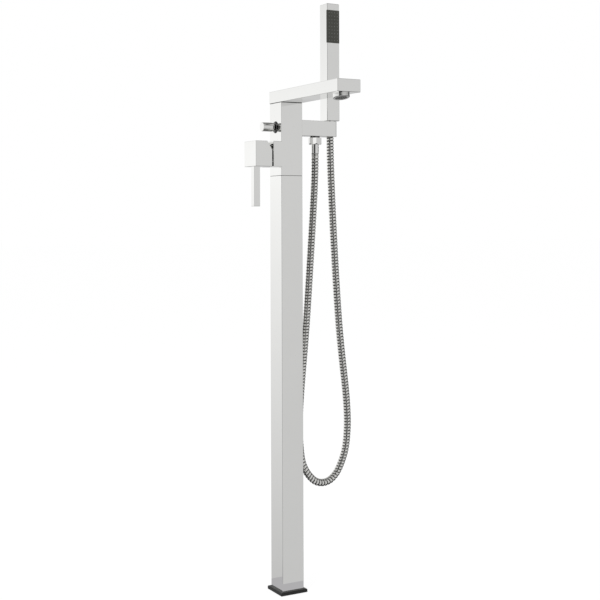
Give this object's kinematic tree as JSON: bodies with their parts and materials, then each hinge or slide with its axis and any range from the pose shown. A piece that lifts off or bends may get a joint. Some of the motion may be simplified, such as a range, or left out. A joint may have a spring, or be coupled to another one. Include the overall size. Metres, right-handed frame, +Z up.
{
  "type": "floor standing bath filler",
  "caption": "Square column bath and shower mixer that stands on the floor, with a flat spout, lever handle, pull diverter, and a handset on a ribbed hose in a side fork.",
  "frame": {"origin": "centre of the foot on the floor, on the column's axis", "axes": "+Z up along the column, -Y the way the spout points, -X the handle's side, +X the hose arm's side"},
  "size_m": [0.2161, 0.2533, 1.1101],
  "materials": {
    "chrome": "polished",
    "chrome_hose": "ribbed, polished",
    "brass": "machined",
    "steel": "satin",
    "rubber": "matt black",
    "black_plastic": "satin black",
    "white_plastic": "smooth",
    "braid": "woven"
  },
  "bodies": {
    "root": {"floor_gasket": "rubber", "floor_bracket": "steel", "column_tube": "chrome", "column_screws": "chrome", "spigot_fixing_screws": "chrome", "column_top_seal": "rubber", "hot_tail": "braid", "hot_tail_nut": "brass", "cold_tail": "braid", "cold_tail_nut": "brass", "tail_washers": "rubber", "valve_body": "chrome", "mixing_cartridge": "white_plastic", "cartridge_seals": "rubber", "cartridge_nut": "brass", "cartridge_cover": "chrome", "diverter_bush": "chrome", "diverter_gland_seal": "rubber", "diverter_spring": "steel", "spout_seal": "rubber", "spout": "chrome", "spout_nipple": "brass", "spout_o_ring": "rubber", "spout_grub_screw": "steel", "aerator_housing": "chrome", "aerator_insert": "black_plastic", "aerator_washer_ring": "rubber", "outlet_nipple": "chrome", "non_return_valve": "white_plastic", "hose_washer_upper": "rubber", "hose_nut": "chrome", "hose_ferrule_upper": "chrome", "shower_hose": "chrome_hose"},
    "mixer_driver": {"cartridge_driver": "white_plastic", "spindle_pin": "steel"},
    "mixer_handle": {"handle_block": "chrome", "lever_bar": "chrome", "cartridge_spindle": "steel", "handle_grub_screw": "steel", "handle_screw_plug": "chrome"},
    "diverter": {"diverter_knob": "chrome", "diverter_stem": "steel", "diverter_plunger": "rubber"},
    "hose_end": {"hose_ferrule_lower": "chrome"},
    "handset": {"hose_cone_nut": "chrome", "hose_washer_lower": "rubber", "handset_body": "chrome", "handset_inlet": "chrome", "handset_water_tube": "white_plastic", "spray_plate": "black_plastic", "spray_nozzles": "rubber"}
  },
  "joints": [
    {"name": "temperature_turn", "type": "hinge", "parent": "root", "child": "mixer_driver", "pos_m": [-0.049, 0, 0.8193], "axis": [1, 0, 0], "range_deg": [-45, 45]},
    {"name": "flow_lift", "type": "hinge", "parent": "mixer_driver", "child": "mixer_handle", "pos_m": [-0.049, 0, 0.8193], "axis": [0, 1, 0], "range_deg": [0, 20]},
    {"name": "diverter_pull", "type": "slide", "parent": "root", "child": "diverter", "axis": [-1, 0, 0], "range_m": [0, 0.008], "stiffness_N_per_m": 250, "springref_m": -0.006, "deforming": ["diverter_spring"]},
    {"name": "handset_lift", "type": "slide", "parent": "root", "child": "hose_end", "axis": [0, 0, 1], "range_m": [0, 0.03]},
    {"name": "handset_turn", "type": "hinge", "parent": "hose_end", "child": "handset", "pos_m": [0.096, 0, 0.88], "axis": [0, 0, 1], "continuous": true}
  ]
}
